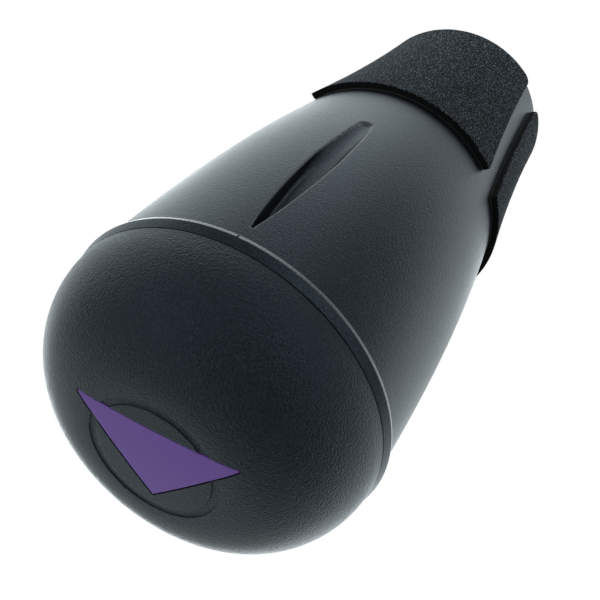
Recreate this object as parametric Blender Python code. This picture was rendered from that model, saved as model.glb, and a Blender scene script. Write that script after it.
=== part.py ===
"""Practice mute for a horn.

A moulded plastic body stands on its mouth rim with the neck down. A domed cap
closes its wide end, three foam strips grip the horn's bell round the neck, and
a funnel-shaped baffle with a tone tube divides the inside. Metres, +Z along
the axis from the mouth to the dome.
"""

import math

import bmesh
import bpy
from mathutils import Matrix, Vector

# Body: radius at the mouth, at the waist where the neck flares most, and at the shoulder
MOUTH_RADIUS = 0.0362
WAIST_RADIUS = 0.0454
SHOULDER_RADIUS = 0.0543
WAIST_HEIGHT = 0.084
BODY_HEIGHT = 0.204
MOUTH_SLOPE = 0.05
WAIST_SLOPE = 0.164
WALL = 0.0025
MOUTH_CHAMFER = 0.0004

# Collar round the wide end of the body, flaring from the seam to its rounded edge
COLLAR_HEIGHT = 0.0047
COLLAR_STEP = 0.0017
COLLAR_FLARE = 0.0010
COLLAR_ROUND = 0.0015
NOTCH_WIDTH = 0.0006
NOTCH_DEPTH = 0.0006
NOTCH_HEIGHT = 0.0018

# Cap: its height over the seam, its faintly crowned end disc with a groove round it,
# and the spigot that enters the body
DOME_HEIGHT = 0.0330
DISC_RADIUS = 0.0218
DISC_CROWN = 0.00065
SPIGOT_LENGTH = 0.0080
SPIGOT_WALL = 0.0020
SPIGOT_CHAMFER = 0.0006
RING_RADIUS = 0.02035
RING_WIDTH = 0.0025
RING_DEPTH = 0.00045
RING_DRAFT = 0.0001

# Badge: a plate with three corners that follows the dome, let into a pocket
BADGE_BASE = 0.0528
BADGE_HEIGHT = 0.0276
BADGE_BASE_OFFSET = 0.0124
BADGE_SHIFT = 0.0004
BADGE_TURN = math.radians(1.2)
BADGE_CORNER = 0.00035
BADGE_THICKNESS = 0.0008
BADGE_INSET = 0.0001
BADGE_GAP = 0.00035

# Scoops: two opposite leaf-shaped channels, measured down from the seam
SCOOP_COUNT = 2
SCOOP_TIP_DROP = 0.0113
SCOOP_BELLY_DROP = 0.0640
SCOOP_NOSE_DROP = 0.0860
SCOOP_HALF_WIDTH = 0.0041
SCOOP_TIP_FULLNESS = 0.75
SCOOP_TIP_BLUNT = 0.0006
SCOOP_BALL_END = 80.0
SCOOP_TIP_DEPTH = 0.0073
SCOOP_NOSE_DEPTH = 0.0010
SCOOP_FLOOR_BOW = 0.00075
SCOOP_WALL = 0.0020
OUTLET_WIDTH = 0.0020
OUTLET_LENGTH = 0.0070
OUTLET_DROP = 0.0065

# Foam strips round the neck and the adhesive under them. The first two are set close
# together and the third midway between them on the far side; each is a little skewed.
PAD_RIM_MARGIN = 0.0029
PAD_LENGTH = 0.0814
PAD_THICKNESS = 0.0019
PAD_SWEEP = math.radians(98.4)
PAD_GAP_ANGLE = math.radians(12.2)
PAD_LEAN_ANGLE = math.radians(5.6)
PAD_FIRST_EDGE = math.radians(-43.1)
PAD_SKEW = 0.0020
PAD_MOUTH_ROUND = 0.0034
PAD_DOME_ROUND = 0.0016
TAPE_THICKNESS = 0.00035
TAPE_MARGIN_ANGLE = math.radians(0.5)
TAPE_MARGIN = 0.0004

# Baffle, seated on a ledge in the bore, with a hub for the tone tube
LEDGE_HEIGHT = 0.0620
LEDGE_WIDTH = 0.0016
BAFFLE_WALL = 0.0022
BAFFLE_RIM_HEIGHT = 0.0050
FUNNEL_HEIGHT = 0.0150
HUB_LENGTH = 0.0140
HUB_WALL = 0.0024
HUB_LIP = 0.0015
TUBE_RADIUS = 0.0085
TUBE_WALL = 0.0015
TUBE_LENGTH = 0.1000

# Felt disc inside the dome
DISC_FELT_RADIUS = 0.0200
DISC_FELT_THICKNESS = 0.0080

# Space left between pieces that touch, and how far a cutter runs past what it cuts
CLEARANCE = 0.0003
CUT_MARGIN = 0.0020

# How finely the shapes are divided
SEGMENTS = 60
TUBE_SEGMENTS = 30
BODY_ROWS = 14
BORE_ROWS = 8
MOUTH_ROWS = 4
ARC_STEPS = 12
INNER_ARC_STEPS = 7
CROWN_STEPS = 2
BADGE_STEPS = 2
CORNER_STEPS = 4
SCOOP_BALL_STEPS = 5
SCOOP_NOSE_ROWS = 4
SCOOP_TIP_ROWS = 8
SCOOP_FLOOR_STEPS = 8
PAD_ROWS = 6
PAD_COLUMNS = 16
TAPE_COLUMNS = 12
SHARP_ANGLE = math.radians(30.0)
MERGE_DISTANCE = 1e-6


def clear_scene():
    for thing in list(bpy.data.objects):
        bpy.data.objects.remove(thing, do_unlink=True)


def plain_material(name, colour, roughness, metallic=0.0):
    material = bpy.data.materials.new(name)
    material.use_nodes = True
    shader = material.node_tree.nodes["Principled BSDF"]
    shader.inputs["Base Color"].default_value = (*colour, 1.0)
    shader.inputs["Roughness"].default_value = roughness
    shader.inputs["Metallic"].default_value = metallic
    material.diffuse_color = (*colour, 1.0)
    return material


def smooth_mesh(name, bm, material):
    """Turn a finished bmesh into a smooth-shaded mesh."""
    bmesh.ops.recalc_face_normals(bm, faces=bm.faces)
    mesh = bpy.data.meshes.new(name)
    bm.to_mesh(mesh)
    bm.free()
    mesh.shade_smooth()
    mesh.set_sharp_from_angle(angle=SHARP_ANGLE)
    if material is not None:
        mesh.materials.append(material)
    return mesh


def place(name, data, parent=None):
    """Put a mesh, or an empty where data is None, into the scene."""
    thing = bpy.data.objects.new(name, data)
    bpy.context.scene.collection.objects.link(thing)
    thing.parent = parent
    return thing


def as_cutter(thing):
    thing.hide_render = True
    thing.display_type = "WIRE"
    return thing


def add_boolean(thing, operation, other):
    modifier = thing.modifiers.new(f"{operation.lower()} {other.name}", "BOOLEAN")
    modifier.operation = operation
    modifier.solver = "EXACT"
    modifier.object = other


def turned(name, outline, material, parent=None, segments=SEGMENTS):
    """Turn an outline of (radius, height) points round Z into a closed solid."""
    bm = bmesh.new()
    verts = [bm.verts.new((radius, 0.0, height)) for radius, height in outline]
    pairs = zip(verts, verts[1:] + verts[:1])
    edges = [bm.edges.new(pair) for pair in pairs if max(pair[0].co.x, pair[1].co.x) > 0.0]
    bmesh.ops.spin(
        bm,
        geom=verts + edges,
        cent=(0.0, 0.0, 0.0),
        axis=(0.0, 0.0, 1.0),
        angle=2.0 * math.pi,
        steps=segments,
        use_merge=True,
    )
    bmesh.ops.remove_doubles(bm, verts=bm.verts, dist=MERGE_DISTANCE)
    return place(name, smooth_mesh(name, bm, material), parent)


def loft(name, sections, parent=None):
    """Join a row of closed sections, each a list of points, into a closed cutter."""
    bm = bmesh.new()
    rings = []
    for section in sections:
        verts = [bm.verts.new(point) for point in section]
        rings.append([bm.edges.new(pair) for pair in zip(verts, verts[1:] + verts[:1])])
    for lower, upper in zip(rings, rings[1:]):
        bmesh.ops.bridge_loops(bm, edges=lower + upper)
    for ring in (rings[0], rings[-1]):
        bmesh.ops.contextual_create(bm, geom=ring)
    return as_cutter(place(name, smooth_mesh(name, bm, None), parent))


def block(name, low, high, parent=None):
    """A plain box cutter between two corners."""
    bm = bmesh.new()
    bmesh.ops.create_cube(bm, size=1.0)
    size = Vector(high) - Vector(low)
    middle = (Vector(high) + Vector(low)) / 2.0
    bmesh.ops.transform(bm, matrix=Matrix.Translation(middle) @ Matrix.Diagonal((*size, 1.0)), verts=bm.verts)
    return as_cutter(place(name, smooth_mesh(name, bm, None), parent))


def steps(start, end, count):
    """Evenly spaced values from start to end, both included."""
    return [start + (end - start) * index / count for index in range(count + 1)]


def arc(centre, radii, start, end, count=ARC_STEPS):
    """Points of an elliptical arc in the (radius, height) plane, angles in degrees."""
    return [
        (
            centre[0] + radii[0] * math.cos(math.radians(angle)),
            centre[1] + radii[1] * math.sin(math.radians(angle)),
        )
        for angle in steps(start, end, count)
    ]


def hermite(height, low, high):
    """Radius on a smooth curve between two (height, radius, slope) knots."""
    span = high[0] - low[0]
    t = (height - low[0]) / span
    rise = t * t * (3.0 - 2.0 * t)
    start_push = t * (1.0 - t) ** 2
    end_push = t * t * (t - 1.0)
    radius = low[1] * (1.0 - rise) + high[1] * rise
    return radius + span * (start_push * low[2] + end_push * high[2])


SHOULDER_HEIGHT = BODY_HEIGHT - COLLAR_HEIGHT
COLLAR_RADIUS = SHOULDER_RADIUS + COLLAR_STEP
SEAM_RADIUS = COLLAR_RADIUS - COLLAR_FLARE
MOUTH_KNOT = (0.0, MOUTH_RADIUS, MOUTH_SLOPE)
WAIST_KNOT = (WAIST_HEIGHT, WAIST_RADIUS, WAIST_SLOPE)
SHOULDER_KNOT = (SHOULDER_HEIGHT, SHOULDER_RADIUS, 0.0)


def outer_radius(height):
    """Radius of the body's outside: concave neck, then a convex belly."""
    if height <= WAIST_HEIGHT:
        return hermite(max(height, 0.0), MOUTH_KNOT, WAIST_KNOT)
    return hermite(min(height, SHOULDER_HEIGHT), WAIST_KNOT, SHOULDER_KNOT)


def bore_radius(height):
    """Radius of the body's inside, one wall in from the outside."""
    return outer_radius(height) - WALL


LAND_RADIUS = bore_radius(LEDGE_HEIGHT) - LEDGE_WIDTH


def body_outline():
    """Outside of the body, closed across the axis, for the bore to be cut from."""
    flank = [(outer_radius(z), z) for z in steps(MOUTH_CHAMFER, SHOULDER_HEIGHT, BODY_ROWS)]
    round_centre = (COLLAR_RADIUS - COLLAR_ROUND, SHOULDER_HEIGHT + COLLAR_ROUND)
    collar = arc(round_centre, (COLLAR_ROUND, COLLAR_ROUND), -90.0, 0.0, CORNER_STEPS)
    mouth = [(0.0, 0.0), (MOUTH_RADIUS - MOUTH_CHAMFER, 0.0)]
    return mouth + flank + collar + [(SEAM_RADIUS, BODY_HEIGHT), (0.0, BODY_HEIGHT)]


def bore_outline():
    """Inside of the body, with the land and the ledge that carry the baffle."""
    land_start = LEDGE_HEIGHT
    while land_start > 0.0 and bore_radius(land_start) > LAND_RADIUS:
        land_start -= WALL
    land_start = max(land_start, WALL)
    mouth_bore = [(bore_radius(z), z) for z in steps(0.0, land_start, MOUTH_ROWS)]
    land = [(LAND_RADIUS, LEDGE_HEIGHT)]
    upper_bore = [(bore_radius(z), z) for z in steps(LEDGE_HEIGHT, SHOULDER_HEIGHT, BORE_ROWS)]
    below = -CUT_MARGIN
    above = BODY_HEIGHT + CUT_MARGIN
    low_end = [(0.0, below), (bore_radius(0.0), below)]
    high_end = [(bore_radius(SHOULDER_HEIGHT), above), (0.0, above)]
    return low_end + mouth_bore + land + upper_bore + high_end


def scoop_sections(growth=0.0):
    """Round-bottomed sections of a scoop on the -Y side, from its nose to its tip.

    The nose is a ball that leaves the body's surface, the belly is as wide as
    the ball, and from there the walls draw in to the tip while the floor goes
    deeper. Growth sets every face back, for the wall round the channel.
    """
    tip = BODY_HEIGHT - SCOOP_TIP_DROP
    belly = BODY_HEIGHT - SCOOP_BELLY_DROP
    nose = BODY_HEIGHT - SCOOP_NOSE_DROP
    nose_floor = outer_radius(nose) - SCOOP_NOSE_DEPTH
    tip_floor = outer_radius(tip) - SCOOP_TIP_DEPTH
    top = SHOULDER_RADIUS + 2.0 * SCOOP_HALF_WIDTH

    def floor_radius(height):
        t = (height - nose) / (tip - nose)
        return nose_floor + (tip_floor - nose_floor) * t + 4.0 * SCOOP_FLOOR_BOW * t * (1.0 - t)

    def half_width(height):
        if height <= belly:
            return SCOOP_HALF_WIDTH
        t = (height - belly) / (tip - belly)
        return SCOOP_HALF_WIDTH * (1.0 - t * t) ** SCOOP_TIP_FULLNESS

    def section(height, centre_radius, half):
        channel = arc((0.0, -centre_radius), (half, half), 0.0, 180.0, SCOOP_FLOOR_STEPS)
        return [(half, -top, height)] + [(x, y, height) for x, y in channel] + [(-half, -top, height)]

    sections = []
    ball = SCOOP_HALF_WIDTH + growth
    ball_centre = nose_floor + SCOOP_HALF_WIDTH
    for angle in steps(SCOOP_BALL_END, 0.0, SCOOP_BALL_STEPS):
        drop = ball * math.sin(math.radians(angle))
        sections.append(section(nose - drop, ball_centre, ball * math.cos(math.radians(angle))))
    last = tip - SCOOP_TIP_BLUNT
    for height in steps(nose, belly, SCOOP_NOSE_ROWS)[1:] + steps(belly, last, SCOOP_TIP_ROWS)[1:]:
        half = half_width(height)
        sections.append(section(height, floor_radius(height) + half, half + growth))
    if growth > 0.0:
        sections.append(section(tip + growth, floor_radius(tip) + half_width(last), growth))
    return sections


def build_body(root, material):
    body = turned("body_shell", body_outline(), material, root)
    bore = as_cutter(turned("bore", bore_outline(), None, root))
    scoops = []
    for index in range(SCOOP_COUNT):
        turn = 2.0 * math.pi * index / SCOOP_COUNT
        wall = loft(f"scoop_wall_{index + 1}", scoop_sections(SCOOP_WALL), root)
        wall.rotation_euler.z = turn
        add_boolean(bore, "DIFFERENCE", wall)
        scoop = loft(f"scoop_{index + 1}", scoop_sections(), root)
        scoop.rotation_euler.z = turn
        scoops.append(scoop)
        outlet_top = BODY_HEIGHT - SCOOP_TIP_DROP - OUTLET_DROP
        floor = outer_radius(outlet_top) - SCOOP_TIP_DEPTH
        outlet = block(
            f"outlet_{index + 1}",
            (-OUTLET_WIDTH / 2.0, -floor - SCOOP_HALF_WIDTH, outlet_top - OUTLET_LENGTH),
            (OUTLET_WIDTH / 2.0, -floor + SCOOP_WALL + SCOOP_HALF_WIDTH, outlet_top),
            root,
        )
        outlet.rotation_euler.z = turn
        scoops.append(outlet)
    add_boolean(body, "DIFFERENCE", bore)
    for scoop in scoops:
        add_boolean(body, "DIFFERENCE", scoop)
    notch = block(
        "notch",
        (-NOTCH_WIDTH / 2.0, -COLLAR_RADIUS - NOTCH_DEPTH, SHOULDER_HEIGHT - NOTCH_HEIGHT),
        (NOTCH_WIDTH / 2.0, -COLLAR_RADIUS + NOTCH_DEPTH, SHOULDER_HEIGHT + NOTCH_HEIGHT),
        root,
    )
    add_boolean(body, "DIFFERENCE", notch)
    return body


def crown_height(radius):
    """Height of the end disc over the seam at a radius."""
    return DOME_HEIGHT - DISC_CROWN * (radius / DISC_RADIUS) ** 2


def dome_surface(setback, count=ARC_STEPS):
    """Dome outline from its foot to the axis, set back from the outside; height 0 at the seam."""
    foot = (DISC_RADIUS, CLEARANCE)
    radii = (SEAM_RADIUS - DISC_RADIUS - setback, DOME_HEIGHT - DISC_CROWN - CLEARANCE - setback)
    crown = [(radius, crown_height(radius) - setback) for radius in steps(DISC_RADIUS, 0.0, CROWN_STEPS)]
    return arc(foot, radii, 0.0, 90.0, count) + crown[1:]


def cap_outline():
    """Cap with its ring groove, its inside, and the spigot that enters the body."""
    groove_outer = RING_RADIUS + RING_WIDTH / 2.0
    groove_inner = RING_RADIUS - RING_WIDTH / 2.0
    outside = [point for point in dome_surface(0.0) if point[0] > groove_outer + RING_DRAFT]
    top = [(radius, crown_height(radius)) for radius in steps(groove_inner, 0.0, CROWN_STEPS)]
    groove = [
        (groove_outer, crown_height(groove_outer)),
        (groove_outer - RING_DRAFT, crown_height(groove_outer) - RING_DEPTH),
        (groove_inner + RING_DRAFT, crown_height(groove_inner) - RING_DEPTH),
    ]
    spigot_radius = bore_radius(SHOULDER_HEIGHT) - CLEARANCE
    spigot_bore = spigot_radius - SPIGOT_WALL
    inside = [point for point in reversed(dome_surface(WALL, INNER_ARC_STEPS)) if point[1] > CLEARANCE + WALL]
    spigot = [
        (spigot_bore, CLEARANCE + WALL),
        (spigot_bore, -SPIGOT_LENGTH),
        (spigot_radius - SPIGOT_CHAMFER, -SPIGOT_LENGTH),
        (spigot_radius, SPIGOT_CHAMFER - SPIGOT_LENGTH),
        (spigot_radius, CLEARANCE),
    ]
    return spigot + outside + groove + top + inside


def badge_prism(name, growth, parent):
    """Upright three-cornered prism of the badge's outline, grown all round."""
    base_y = -BADGE_BASE_OFFSET
    turn = Matrix.Rotation(BADGE_TURN, 2)
    corners = [
        turn @ Vector((-BADGE_BASE / 2.0 - BADGE_SHIFT, base_y)),
        turn @ Vector((BADGE_BASE / 2.0 - BADGE_SHIFT, base_y)),
        turn @ Vector((-BADGE_SHIFT, base_y + BADGE_HEIGHT)),
    ]
    radius = BADGE_CORNER + growth
    outline = []
    for index, corner in enumerate(corners):
        before = (corners[index - 1] - corner).normalized()
        after = (corners[(index + 1) % 3] - corner).normalized()
        half_angle = before.angle(after) / 2.0
        centre = corner + (before + after).normalized() * BADGE_CORNER / math.sin(half_angle)
        start = math.atan2(-before.x, before.y)
        sweep = math.pi - 2.0 * half_angle
        for angle in steps(0.0, sweep, BADGE_STEPS):
            spoke = start + math.pi + angle
            outline.append((centre.x + radius * math.cos(spoke), centre.y + radius * math.sin(spoke)))
    low = DOME_HEIGHT / 2.0
    high = DOME_HEIGHT + WALL
    sections = [[(x, y, height) for x, y in outline] for height in (low, high)]
    return loft(name, sections, parent)


def skin_outline(top_setback, bottom_setback):
    """Outline of a thin shell of the dome between two setbacks, or open upwards above the lower one."""
    lower = dome_surface(bottom_setback)
    if top_setback is None:
        top = 2.0 * DOME_HEIGHT
        return lower + [(0.0, top), (SEAM_RADIUS, top)]
    return lower + list(reversed(dome_surface(top_setback)))


def build_cap(root, plastic, enamel):
    """Cap and badge, both placed with the seam at their origin."""
    seam = place("seam", None, root)
    seam.location.z = BODY_HEIGHT
    cap = turned("end_cap", cap_outline(), plastic, seam)

    badge_floor = BADGE_INSET + BADGE_THICKNESS
    pocket = as_cutter(turned("pocket", skin_outline(None, badge_floor + CLEARANCE), None, seam))
    add_boolean(pocket, "INTERSECT", badge_prism("pocket_prism", BADGE_GAP, seam))
    add_boolean(cap, "DIFFERENCE", pocket)

    badge = turned("badge_plate", skin_outline(BADGE_INSET, badge_floor), enamel, seam)
    add_boolean(badge, "INTERSECT", badge_prism("badge_prism", 0.0, seam))
    return cap, badge


def corner_edges(bm, level):
    """Edges through a strip's thickness at its two corners on a level."""
    return [
        edge
        for edge in bm.edges
        if all(abs(vert.co.z - level) < MERGE_DISTANCE for vert in edge.verts)
        and edge.verts[0].co.xy.angle(edge.verts[1].co.xy) < MERGE_DISTANCE
        and edge.calc_face_angle() > SHARP_ANGLE
    ]


def wrapped_strip(name, material, standoff, thickness, margin, margin_angle, columns):
    """Mesh of a strip on the neck: round-cornered, skewed, its second edge leaning to the mouth."""
    low = PAD_RIM_MARGIN + margin
    high = PAD_RIM_MARGIN + PAD_LENGTH - margin
    sweep = PAD_SWEEP - 2.0 * margin_angle
    bm = bmesh.new()
    heights = steps(low, high, PAD_ROWS)
    inner = [bm.verts.new((outer_radius(z) + standoff, 0.0, z)) for z in heights]
    outer = [bm.verts.new((outer_radius(z) + standoff + thickness, 0.0, z)) for z in heights]
    end = [bm.faces.new((a, b, c, d)) for a, b, c, d in zip(inner, outer, outer[1:], inner[1:])]
    bmesh.ops.spin(
        bm,
        geom=end,
        cent=(0.0, 0.0, 0.0),
        axis=(0.0, 0.0, 1.0),
        angle=-sweep,
        steps=columns,
    )
    bmesh.ops.recalc_face_normals(bm, faces=bm.faces)
    for level, rounding in ((low, PAD_MOUTH_ROUND), (high, PAD_DOME_ROUND)):
        bmesh.ops.bevel(
            bm,
            geom=corner_edges(bm, level),
            offset=rounding,
            affect="EDGES",
            segments=CORNER_STEPS,
            profile=0.5,
            material=-1,
            clamp_overlap=True,
        )
    for vert in bm.verts:
        share = -math.atan2(vert.co.y, vert.co.x) / sweep
        lean = PAD_LEAN_ANGLE * share * (high - vert.co.z) / PAD_LENGTH
        lift = PAD_SKEW * (0.5 - share)
        grow = (outer_radius(vert.co.z + lift) - outer_radius(vert.co.z)) / vert.co.xy.length
        vert.co = Matrix.Rotation(lean, 3, "Z") @ vert.co
        vert.co.xy *= 1.0 + grow
        vert.co.z += lift
    bmesh.ops.rotate(bm, verts=bm.verts, cent=(0.0, 0.0, 0.0), matrix=Matrix.Rotation(-margin_angle, 3, "Z"))
    return smooth_mesh(name, bm, material)


def build_pads(root, foam, adhesive):
    """Foam strips and their adhesive, the same mesh turned to each place."""
    tape_mesh = wrapped_strip(
        "pad_tape", adhesive, CLEARANCE, TAPE_THICKNESS, TAPE_MARGIN, TAPE_MARGIN_ANGLE, TAPE_COLUMNS
    )
    pad_standoff = 2.0 * CLEARANCE + TAPE_THICKNESS
    pad_mesh = wrapped_strip("neck_pad", foam, pad_standoff, PAD_THICKNESS, 0.0, 0.0, PAD_COLUMNS)
    pitch = PAD_SWEEP + PAD_GAP_ANGLE
    for index, step in enumerate((0.0, pitch, math.pi + pitch / 2.0)):
        for mesh in (tape_mesh, pad_mesh):
            strip = place(f"{mesh.name}_{index + 1}", mesh, root)
            strip.rotation_euler.z = PAD_FIRST_EDGE - step


def baffle_outline():
    """Funnel with a rim on the ledge and a hub; height 0 at its seat."""
    rim_radius = bore_radius(LEDGE_HEIGHT) - CLEARANCE
    rim_bore = LAND_RADIUS
    hub_bore = TUBE_RADIUS + CLEARANCE
    hub_radius = hub_bore + HUB_WALL
    lip_radius = TUBE_RADIUS - TUBE_WALL
    hub_foot = FUNNEL_HEIGHT + BAFFLE_WALL
    return [
        (rim_bore, 0.0),
        (rim_radius, 0.0),
        (rim_radius, BAFFLE_RIM_HEIGHT),
        (rim_radius - BAFFLE_WALL, BAFFLE_RIM_HEIGHT),
        (hub_radius, hub_foot),
        (hub_radius, FUNNEL_HEIGHT + HUB_LENGTH),
        (hub_bore, FUNNEL_HEIGHT + HUB_LENGTH),
        (hub_bore, FUNNEL_HEIGHT + HUB_LIP),
        (lip_radius, FUNNEL_HEIGHT + HUB_LIP),
        (lip_radius, FUNNEL_HEIGHT),
        (hub_radius, FUNNEL_HEIGHT),
        (rim_bore, BAFFLE_RIM_HEIGHT - BAFFLE_WALL),
    ]


def build_inside(root, plastic, felt):
    """Baffle, tone tube and felt disc."""
    seat = LEDGE_HEIGHT + CLEARANCE
    baffle = turned("baffle", baffle_outline(), plastic, root)
    baffle.location.z = seat

    bore = TUBE_RADIUS - TUBE_WALL
    tube_outline = [(bore, 0.0), (TUBE_RADIUS, 0.0), (TUBE_RADIUS, TUBE_LENGTH), (bore, TUBE_LENGTH)]
    tube = turned("air_tube", tube_outline, plastic, root, TUBE_SEGMENTS)
    tube.location.z = seat + FUNNEL_HEIGHT + HUB_LIP + CLEARANCE

    felt_outline = [
        (0.0, 0.0),
        (DISC_FELT_RADIUS, 0.0),
        (DISC_FELT_RADIUS, DISC_FELT_THICKNESS),
        (0.0, DISC_FELT_THICKNESS),
    ]
    disc = turned("damping_disc", felt_outline, felt, root, TUBE_SEGMENTS)
    ceiling = BODY_HEIGHT + crown_height(DISC_FELT_RADIUS) - WALL
    disc.location.z = ceiling - CLEARANCE - DISC_FELT_THICKNESS


def build_mute():
    clear_scene()
    root = place("mute", None)
    shell_plastic = plain_material("black_plastic", (0.020, 0.023, 0.027), 0.42)
    inner_plastic = plain_material("inner_plastic", (0.018, 0.018, 0.020), 0.5)
    foam = plain_material("foam", (0.018, 0.021, 0.021), 0.95)
    adhesive = plain_material("adhesive", (0.45, 0.46, 0.45), 0.6)
    enamel = plain_material("badge_enamel", (0.110, 0.056, 0.290), 0.35)
    felt = plain_material("felt", (0.12, 0.12, 0.13), 0.95)
    build_body(root, shell_plastic)
    build_cap(root, shell_plastic, enamel)
    build_pads(root, foam, adhesive)
    build_inside(root, inner_plastic, felt)


build_mute()
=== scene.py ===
"""Horn practice mute: fine meshes and finishes for its pieces, its light and its camera.

The mute stands on its mouth rim, neck down, with its axis on Z. Metres throughout.
"""

import math

import bmesh
import bpy
from mathutils import Matrix, Vector, noise


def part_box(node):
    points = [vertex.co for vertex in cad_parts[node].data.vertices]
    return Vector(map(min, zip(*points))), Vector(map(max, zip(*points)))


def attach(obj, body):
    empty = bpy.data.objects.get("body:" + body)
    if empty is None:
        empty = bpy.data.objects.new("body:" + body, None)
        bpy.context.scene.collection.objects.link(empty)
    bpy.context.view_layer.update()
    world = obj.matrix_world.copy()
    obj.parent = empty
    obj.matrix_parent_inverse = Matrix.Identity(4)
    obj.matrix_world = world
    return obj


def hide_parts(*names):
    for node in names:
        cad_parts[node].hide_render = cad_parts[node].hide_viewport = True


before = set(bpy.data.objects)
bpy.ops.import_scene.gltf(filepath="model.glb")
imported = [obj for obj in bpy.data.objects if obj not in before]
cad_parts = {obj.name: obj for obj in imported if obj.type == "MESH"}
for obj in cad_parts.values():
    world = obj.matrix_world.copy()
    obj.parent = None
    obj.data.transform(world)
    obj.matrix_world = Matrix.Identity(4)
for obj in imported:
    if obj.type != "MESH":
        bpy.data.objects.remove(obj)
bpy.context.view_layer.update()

# Heights and widths that the frame gives
SEAM_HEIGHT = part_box("body_shell")[1].z
COLLAR_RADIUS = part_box("body_shell")[1].x
SPIGOT_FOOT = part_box("end_cap")[0].z
BAFFLE_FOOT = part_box("baffle")[0].z
HUB_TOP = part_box("baffle")[1].z
TUBE_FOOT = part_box("air_tube")[0].z
TUBE_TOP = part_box("air_tube")[1].z
TUBE_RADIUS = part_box("air_tube")[1].x
FELT_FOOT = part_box("damping_disc")[0].z
FELT_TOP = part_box("damping_disc")[1].z
FELT_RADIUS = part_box("damping_disc")[1].x

# Body outline: a flared neck, then a belly that is upright at the shoulder.
# MOUTH, WAIST and SHOULDER are (height, radius, slope) knots of one smooth curve.
COLLAR_HEIGHT = 0.0047
SHOULDER_HEIGHT = SEAM_HEIGHT - COLLAR_HEIGHT
MOUTH = (0.0, 0.0362, 0.05)
WAIST = (0.084, 0.0454, 0.164)
SHOULDER = (SHOULDER_HEIGHT, 0.0543, 0.0)
WALL = 0.0025
MOUTH_ROUND = 0.0005
SEAM_STEP = 0.0010
SEAM_RADIUS = COLLAR_RADIUS - SEAM_STEP
COLLAR_BEVEL = 0.0016
COLLAR_DRAW = 0.0004
COLLAR_ROUND = 0.0003
LEDGE_ROUND = 0.00015
EDGE_ROUND = 0.00015
BAFFLE_SEAT = 0.0620
BAFFLE_LAND = 0.0016
COARSE_ROW = 0.002
FINE_ROW = 0.001
COLUMNS = 240

# Notch in the collar's edge, on the side of the front scoop
NOTCH_WIDTH = 0.0006
NOTCH_DEPTH = 0.0006
NOTCH_HEIGHT = 0.0018

# Scoops: ball-ended at the nose, widest at the belly, narrow and deep at the tip
SCOOP_TURNS = (0.0, math.pi)
SCOOP_NOSE = SEAM_HEIGHT - 0.0860
SCOOP_BELLY = SEAM_HEIGHT - 0.0640
SCOOP_TIP = SEAM_HEIGHT - 0.0113
SCOOP_HALF_WIDTH = 0.0041
SCOOP_FULLNESS = 0.75
SCOOP_NOSE_DEPTH = 0.0010
SCOOP_TIP_DEPTH = 0.0073
SCOOP_BOW = 0.00075
SCOOP_LIP = 0.0007
SCOOP_CORNER = 0.35
SCOOP_SQUARE = 0.020
SCOOP_TIP_ROUND = 0.0004
SCOOP_WALL = 0.0020

# Painted highlight on the edges: how far under the outside a lip begins, and how far in the
# collar's bevel reaches
LIP_START = 0.00002
BEVEL_REACH = 0.0005

# Panel of the shell that gives way to a scoop, and the rows and stations that fill it
PANEL_FOOT = 0.110
PANEL_HEAD = 0.197
PANEL_COLUMNS = 6
PANEL_LEVELS = 6
PANEL_EASE = 1.5
STATION_EASE = 1.6
NOSE_STATIONS = 10
TIP_STATIONS = 7
LIP_LEVELS = 6
FLOOR_LEVELS = 20

# Outlet from a scoop's floor into the hollow
OUTLET_WIDTH = 0.0020
OUTLET_HEAD = SCOOP_TIP - 0.0065
OUTLET_FOOT = OUTLET_HEAD - 0.0070

# Cap: dome over the seam, faintly crowned end disc with a groove round it
DOME_FOOT = SEAM_HEIGHT + 0.0003
DOME_TOP = SEAM_HEIGHT + 0.0330
DISC_RADIUS = 0.0218
DISC_CROWN = 0.00065
GROOVE_RADIUS = 0.02035
GROOVE_WIDTH = 0.0025
GROOVE_DEPTH = 0.00030
GROOVE_DRAFT = 0.0001
GROOVE_ROUND = 0.00010
CROWN_STEPS = 12
DOME_STEPS = 70
INNER_DOME_STEPS = 17
INNER_DOME_START = 1.5 * WALL
SPIGOT_RADIUS = 0.0515
SPIGOT_WALL = 0.0020

# Badge: bare three-cornered plate in its pocket
BADGE_BASE = 0.0528
BADGE_HEIGHT = 0.0276
BADGE_FOOT = -0.0124
BADGE_SHIFT = 0.0004
BADGE_TURN = math.radians(1.2)
BADGE_CORNER = 0.00035
BADGE_THICKNESS = 0.0008
BADGE_SINK = 0.0001
BADGE_GAP = 0.00035
BADGE_EDGE = 0.00015
BADGE_CELL = 0.0008
POCKET_CELL = 2.0 * BADGE_CELL
SPARE_CELLS = 2
BADGE_MERGE = 0.00004
CORNER_CUTS = 6

# Foam strips and the tape under them: two close together, the third midway on the far side
STRIP_FOOT = 0.0029
STRIP_HEAD = 0.0843
STRIP_SWEEP = math.radians(98.4)
STRIP_PITCH = STRIP_SWEEP + math.radians(12.2)
STRIP_FIRST_EDGE = math.radians(-43.1)
STRIP_TURNS = [STRIP_FIRST_EDGE - step for step in (0.0, STRIP_PITCH, math.pi + STRIP_PITCH / 2.0)]
STRIP_LEAN = math.radians(5.6)
STRIP_SKEW = 0.0020
MOUTH_CORNER = 0.0036
DOME_CORNER = 0.0016
TAPE_LOW = 0.00005
TAPE_HIGH = 0.00038
FOAM_LOW = 0.00042
FOAM_HIGH = 0.00285
FOAM_ROUND = 0.00030
FOAM_CELL = 0.00055
FOAM_SWELL = 0.00005
FOAM_SWELL_SCALE = 330.0
EDGE_STEPS = 4
TAPE_COLUMNS = 72
TAPE_ROWS = 48
TAPE_MARGIN = 0.0002

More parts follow.
